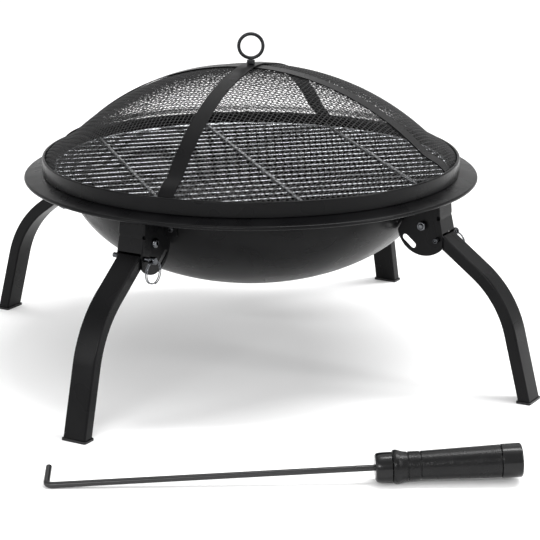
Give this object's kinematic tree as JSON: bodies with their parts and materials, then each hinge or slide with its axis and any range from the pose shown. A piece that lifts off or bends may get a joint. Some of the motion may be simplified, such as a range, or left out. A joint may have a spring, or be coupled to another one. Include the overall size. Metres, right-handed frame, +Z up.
{
  "type": "folding-leg fire pit",
  "caption": "Portable steel fire pit with folding bent legs in bolted brackets, lock pins with pull rings, domed mesh spark lid, wire cooking grate and hooked poker.",
  "frame": {"origin": "centre of the footprint of the pit and its poker, on the floor", "axes": "+Z up, +Y away from the poker towards the back, +X to the right seen from the poker's side"},
  "size_m": [0.6862, 0.8195, 0.407],
  "materials": {
    "black_coat": "satin black heat-resistant powder coat on steel",
    "woven_mesh": "black coated woven steel wire",
    "zinc_plate": "bright zinc plate",
    "black_oxide": "black oxide steel",
    "chromed_wire": "bright chrome plate on steel wire",
    "black_plastic": "matt black moulded plastic with a fine texture"
  },
  "bodies": {
    "bowl": {"bowl_bolt_back_left_a": "black_oxide", "bowl_bolt_back_left_b": "black_oxide", "bowl_bolt_back_right_a": "black_oxide", "bowl_bolt_back_right_b": "black_oxide", "bowl_bolt_front_left_a": "black_oxide", "bowl_bolt_front_left_b": "black_oxide", "bowl_bolt_front_right_a": "black_oxide", "bowl_bolt_front_right_b": "black_oxide", "bowl_nut_back_left_a": "zinc_plate", "bowl_nut_back_left_b": "zinc_plate", "bowl_nut_back_right_a": "zinc_plate", "bowl_nut_back_right_b": "zinc_plate", "bowl_nut_front_left_a": "zinc_plate", "bowl_nut_front_left_b": "zinc_plate", "bowl_nut_front_right_a": "zinc_plate", "bowl_nut_front_right_b": "zinc_plate", "fire_bowl": "black_coat", "leg_bracket_back_left": "black_coat", "leg_bracket_back_right": "black_coat", "leg_bracket_front_left": "black_coat", "leg_bracket_front_right": "black_coat", "pivot_bolt_back_left": "zinc_plate", "pivot_bolt_back_right": "zinc_plate", "pivot_bolt_front_left": "zinc_plate", "pivot_bolt_front_right": "zinc_plate", "pivot_nut_back_left": "zinc_plate", "pivot_nut_back_right": "zinc_plate", "pivot_nut_front_left": "zinc_plate", "pivot_nut_front_right": "zinc_plate"},
    "leg_front_right": {"leg_front_right": "black_coat", "foot_cap_front_right": "black_plastic"},
    "leg_back_right": {"leg_back_right": "black_coat", "foot_cap_back_right": "black_plastic"},
    "leg_back_left": {"leg_back_left": "black_coat", "foot_cap_back_left": "black_plastic"},
    "leg_front_left": {"leg_front_left": "black_coat", "foot_cap_front_left": "black_plastic"},
    "lock_pin_front_right": {"lock_pin_front_right": "zinc_plate"},
    "pull_ring_front_right": {"pull_ring_front_right": "zinc_plate"},
    "lock_pin_back_right": {"lock_pin_back_right": "zinc_plate"},
    "pull_ring_back_right": {"pull_ring_back_right": "zinc_plate"},
    "lock_pin_back_left": {"lock_pin_back_left": "zinc_plate"},
    "pull_ring_back_left": {"pull_ring_back_left": "zinc_plate"},
    "lock_pin_front_left": {"lock_pin_front_left": "zinc_plate"},
    "pull_ring_front_left": {"pull_ring_front_left": "zinc_plate"},
    "grate": {"cooking_grate": "chromed_wire"},
    "lid": {"lid_hoop": "black_coat", "lid_inner_nut": "zinc_plate", "lid_mesh": "woven_mesh", "lid_ring": "black_oxide", "lid_ring_nut": "black_oxide", "lid_strap_lower": "black_coat", "lid_strap_upper": "black_coat"},
    "poker": {"poker_collar": "black_plastic", "poker_end_cap": "black_plastic", "poker_grip": "black_plastic", "poker_rod": "black_coat"}
  },
  "joints": [
    {"name": "leg_fold_front_right", "type": "hinge", "parent": "bowl", "child": "leg_front_right", "pos_m": [0.21168, -0.05886, 0.19996], "axis": [0.5095, 0.8605, 0], "range_deg": [0, 94]},
    {"name": "lock_pin_pull_front_right", "type": "slide", "parent": "bowl", "child": "lock_pin_front_right", "axis": [0.5095, 0.8605, 0], "range_m": [0, 0.045]},
    {"name": "pull_ring_swing_front_right", "type": "hinge", "parent": "lock_pin_front_right", "child": "pull_ring_front_right", "pos_m": [0.24349, -0.04457, 0.18509], "axis": [0.8605, -0.5095, 0], "range_deg": [-15, 90]},
    {"name": "leg_fold_back_right", "type": "hinge", "parent": "bowl", "child": "leg_back_right", "pos_m": [0.12534, 0.27815, 0.19996], "axis": [-0.8605, 0.5095, 0], "range_deg": [0, 94]},
    {"name": "lock_pin_pull_back_right", "type": "slide", "parent": "bowl", "child": "lock_pin_back_right", "axis": [-0.8605, 0.5095, 0], "range_m": [0, 0.045]},
    {"name": "pull_ring_swing_back_right", "type": "hinge", "parent": "lock_pin_back_right", "child": "pull_ring_back_right", "pos_m": [0.11105, 0.30997, 0.18509], "axis": [0.5095, 0.8605, 0], "range_deg": [-15, 90]},
    {"name": "leg_fold_back_left", "type": "hinge", "parent": "bowl", "child": "leg_back_left", "pos_m": [-0.21168, 0.19181, 0.19996], "axis": [-0.5095, -0.8605, 0], "range_deg": [0, 94]},
    {"name": "lock_pin_pull_back_left", "type": "slide", "parent": "bowl", "child": "lock_pin_back_left", "axis": [-0.5095, -0.8605, 0], "range_m": [0, 0.045]},
    {"name": "pull_ring_swing_back_left", "type": "hinge", "parent": "lock_pin_back_left", "child": "pull_ring_back_left", "pos_m": [-0.24349, 0.17753, 0.18509], "axis": [-0.8605, 0.5095, 0], "range_deg": [-15, 90]},
    {"name": "leg_fold_front_left", "type": "hinge", "parent": "bowl", "child": "leg_front_left", "pos_m": [-0.12534, -0.1452, 0.19996], "axis": [0.8605, -0.5095, 0], "range_deg": [0, 94]},
    {"name": "lock_pin_pull_front_left", "type": "slide", "parent": "bowl", "child": "lock_pin_front_left", "axis": [0.8605, -0.5095, 0], "range_m": [0, 0.045]},
    {"name": "pull_ring_swing_front_left", "type": "hinge", "parent": "lock_pin_front_left", "child": "pull_ring_front_left", "pos_m": [-0.11105, -0.17701, 0.18509], "axis": [-0.5095, -0.8605, 0], "range_deg": [-15, 90]},
    {"name": "grate_lift", "type": "slide", "parent": "bowl", "child": "grate", "axis": [0, 0, 1], "range_m": [0, 0.25]},
    {"name": "lid_lift", "type": "slide", "parent": "grate", "child": "lid", "axis": [0, 0, 1], "range_m": [0, 0.3]},
    {"name": "poker_lift", "type": "slide", "parent": "bowl", "child": "poker", "axis": [0, 0, 1], "range_m": [0, 0.3]}
  ]
}
